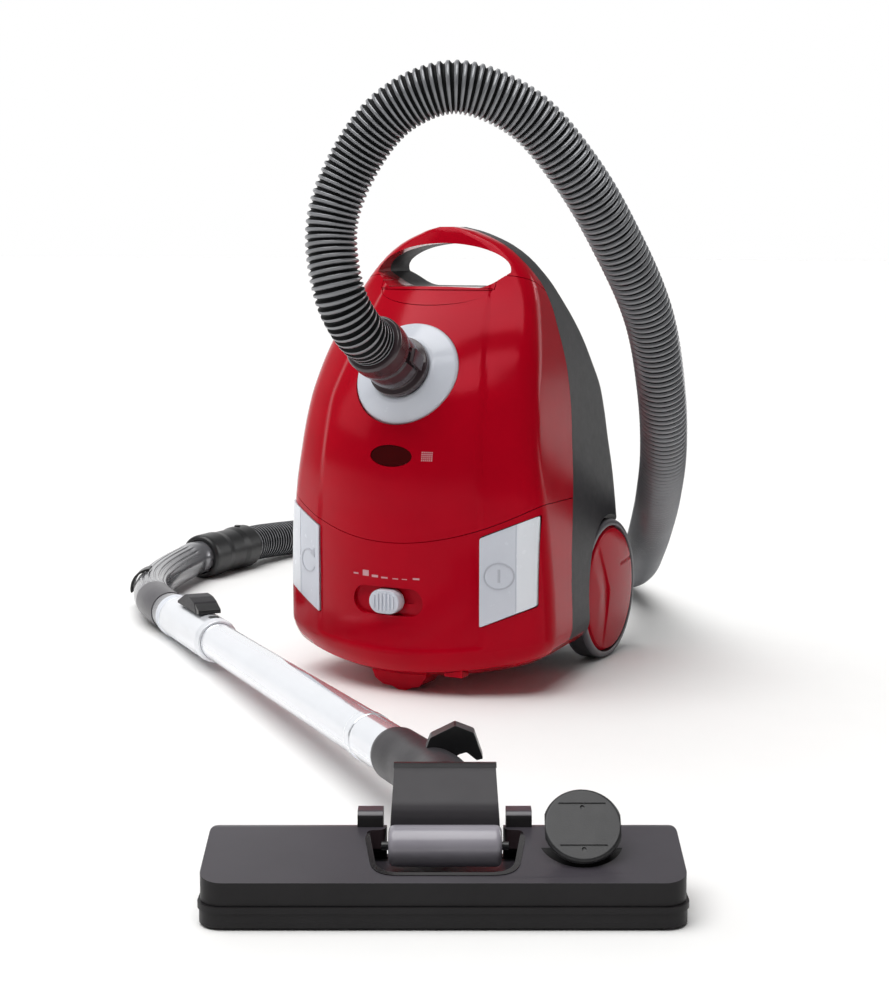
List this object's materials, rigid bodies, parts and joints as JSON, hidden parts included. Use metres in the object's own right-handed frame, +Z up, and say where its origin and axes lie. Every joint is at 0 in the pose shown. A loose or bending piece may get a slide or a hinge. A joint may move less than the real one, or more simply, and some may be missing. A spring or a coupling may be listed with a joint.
{
  "type": "canister vacuum cleaner",
  "caption": "Canister vacuum cleaner parked upright on its tail, with ribbed hose, telescopic chrome wand and floor nozzle.",
  "frame": {"origin": "on the floor, in the middle of the box around everything but the hose", "axes": "+Z up, -Y the way the canister faces, +X to the right for someone looking at its front"},
  "size_m": [0.8534, 1.1737, 0.4986],
  "materials": {
    "red": "glossy red moulding",
    "grey": "fine-textured dark grey",
    "dark": "satin charcoal",
    "black": "satin black",
    "white": "smooth white",
    "smoke": "smoked brown-grey",
    "lens": "dark red window",
    "chrome": "polished",
    "steel": "plain steel",
    "silver": "silver paint",
    "rubber": "matt",
    "hose": "ribbed, silvery crests and black grooves",
    "paper": "dust bag fleece",
    "foam": "filter fleece",
    "board": "circuit board"
  },
  "bodies": {
    "canister": {"chassis": "grey", "lower_housing": "red", "handle_cover": "red", "parking_bracket": "red", "bulkhead": "dark", "motor": "steel", "motor_filter": "foam", "fan_housing": "dark", "exhaust_filter": "foam", "exhaust_grille": "dark", "cord_outlet": "black", "power_switch": "black", "control_board": "board", "dust_bag": "paper", "bag_holder": "dark", "bag_collar": "paper", "lid_hinge_pin": "steel", "axle_right": "steel", "axle_left": "steel", "hose": "hose", "cuff": "dark"},
    "lid_group": {"lid": "red", "indicator_window": "lens", "inlet_ring": "white", "inlet_seal": "rubber", "hose_connector": "smoke"},
    "latch": {"lid_latch": "red"},
    "flag": {"indicator_flag": "white"},
    "clip_l": {"connector_clip_left": "black"},
    "clip_r": {"connector_clip_right": "black"},
    "pedal_power": {"power_pedal": "white"},
    "pedal_rewind": {"rewind_pedal": "white"},
    "brake": {"brake_lever": "black"},
    "slider": {"suction_slider": "white"},
    "rotor": {"impeller": "silver"},
    "reel": {"cord_reel": "black"},
    "wheel_r": {"wheel_right": "grey", "hub_cap_right": "red"},
    "wheel_l": {"wheel_left": "grey", "hub_cap_left": "red"},
    "caster": {"caster_fork": "dark", "caster_axle": "steel"},
    "caster_roll": {"caster_wheel": "grey"},
    "wand": {"grip": "dark", "grip_collar": "white", "outer_tube": "chrome", "tube_sleeve": "silver"},
    "valve": {"air_valve": "black"},
    "release": {"release_slider": "black"},
    "wand_lower": {"inner_tube": "chrome", "elbow": "dark", "parking_hook": "black"},
    "neck_group": {"neck": "dark"},
    "nozzle": {"nozzle_cover": "dark", "nozzle_sole": "black", "neck_pin": "steel"},
    "brush_knob": {"brush_pedal": "dark"},
    "brushes": {"brush_carrier": "black"},
    "roll_l": {"roller_left": "rubber"},
    "roll_r": {"roller_right": "rubber"}
  },
  "joints": [
    {"name": "lid_hinge", "type": "hinge", "parent": "canister", "child": "lid_group", "pos_m": [0.03668, 0.03755, 0.093], "axis": [1, 0, 0], "range_deg": [0, 65], "deforming": ["hose"]},
    {"name": "lid_latch_press", "type": "slide", "parent": "lid_group", "child": "latch", "axis": [0, 1, 0], "range_m": [0, 0.002], "stiffness_N_per_m": 500},
    {"name": "bag_full_flag", "type": "slide", "parent": "lid_group", "child": "flag", "axis": [0, 0, 1], "range_m": [0, 0.005]},
    {"name": "clip_left_press", "type": "slide", "parent": "lid_group", "child": "clip_l", "axis": [1, 0, 0], "range_m": [0, 0.0012], "stiffness_N_per_m": 400},
    {"name": "clip_right_press", "type": "slide", "parent": "lid_group", "child": "clip_r", "axis": [-1, 0, 0], "range_m": [0, 0.0012], "stiffness_N_per_m": 400},
    {"name": "power_press", "type": "slide", "parent": "canister", "child": "pedal_power", "axis": [0, 1, 0], "range_m": [0, 0.0025], "stiffness_N_per_m": 800},
    {"name": "rewind_press", "type": "slide", "parent": "canister", "child": "pedal_rewind", "axis": [0, 1, 0], "range_m": [0, 0.0025], "stiffness_N_per_m": 800},
    {"name": "brake_release", "type": "slide", "parent": "canister", "child": "brake", "axis": [0, 0, 1], "range_m": [-0.003, 0]},
    {"name": "suction_adjust", "type": "slide", "parent": "canister", "child": "slider", "axis": [1, 0, 0], "range_m": [-0.01, 0.016]},
    {"name": "impeller_spin", "type": "hinge", "parent": "canister", "child": "rotor", "pos_m": [0.05468, 0.17255, 0], "axis": [0, 0, 1], "continuous": true},
    {"name": "reel_spin", "type": "hinge", "parent": "canister", "child": "reel", "pos_m": [0.03668, 0.14655, 0.082], "axis": [1, 0, 0], "continuous": true},
    {"name": "wheel_right_spin", "type": "hinge", "parent": "canister", "child": "wheel_r", "pos_m": [0.03668, 0.23355, 0.0618], "axis": [1, 0, 0], "continuous": true},
    {"name": "wheel_left_spin", "type": "hinge", "parent": "canister", "child": "wheel_l", "pos_m": [0.03668, 0.23355, 0.0618], "axis": [1, 0, 0], "continuous": true},
    {"name": "caster_swivel", "type": "hinge", "parent": "canister", "child": "caster", "pos_m": [0.03668, 0.25605, 0.216], "axis": [0, 1, 0], "continuous": true},
    {"name": "caster_spin", "type": "hinge", "parent": "caster", "child": "caster_roll", "pos_m": [0.03668, 0.28055, 0.209], "axis": [1, 0, 0], "continuous": true},
    {"name": "wand_swivel", "type": "hinge", "parent": "canister", "child": "wand", "pos_m": [-0.40291, 0.39346, 0.024], "axis": [0.0045, 1, 0], "range_deg": [0, 40]},
    {"name": "air_valve_turn", "type": "hinge", "parent": "wand", "child": "valve", "pos_m": [-0.35569, 0.24313, 0.021], "axis": [-0.4501, 0.893, 0], "range_deg": [-15, 20]},
    {"name": "tube_release", "type": "slide", "parent": "wand", "child": "release", "axis": [0.7468, -0.664, 0.0374], "range_m": [0, 0.006], "stiffness_N_per_m": 300},
    {"name": "telescope", "type": "slide", "parent": "wand", "child": "wand_lower", "axis": [0.7468, -0.664, 0.0374], "range_m": [0, 0.3]},
    {"name": "neck_swivel", "type": "hinge", "parent": "wand_lower", "child": "neck_group", "pos_m": [0.27862, -0.36103, 0.0505], "axis": [-0.4501, 0.893, 0], "range_deg": [-40, 40]},
    {"name": "nozzle_tilt", "type": "hinge", "parent": "neck_group", "child": "nozzle", "pos_m": [0.29347, -0.39049, 0.033], "axis": [0.893, 0.4501, 0], "range_deg": [-50, 5]},
    {"name": "brush_rock", "type": "hinge", "parent": "nozzle", "child": "brush_knob", "pos_m": [0.36359, -0.36187, 0.042], "axis": [0.893, 0.4501, 0], "range_deg": [0, 8]},
    {"name": "brush_lift", "type": "slide", "parent": "nozzle", "child": "brushes", "axis": [0, 0, 1], "range_m": [0, 0.0026]},
    {"name": "roller_left_spin", "type": "hinge", "parent": "nozzle", "child": "roll_l", "pos_m": [0.18982, -0.42258, 0.0065], "axis": [0.893, 0.4501, 0], "continuous": true},
    {"name": "roller_right_spin", "type": "hinge", "parent": "nozzle", "child": "roll_r", "pos_m": [0.37913, -0.32716, 0.0065], "axis": [0.893, 0.4501, 0], "continuous": true}
  ],
  "couplings": [
    {"joint": "brake_release", "follows": "rewind_press", "ratio": -1},
    {"joint": "brush_rock", "follows": "brush_lift", "rad_per_m": 50}
  ]
}
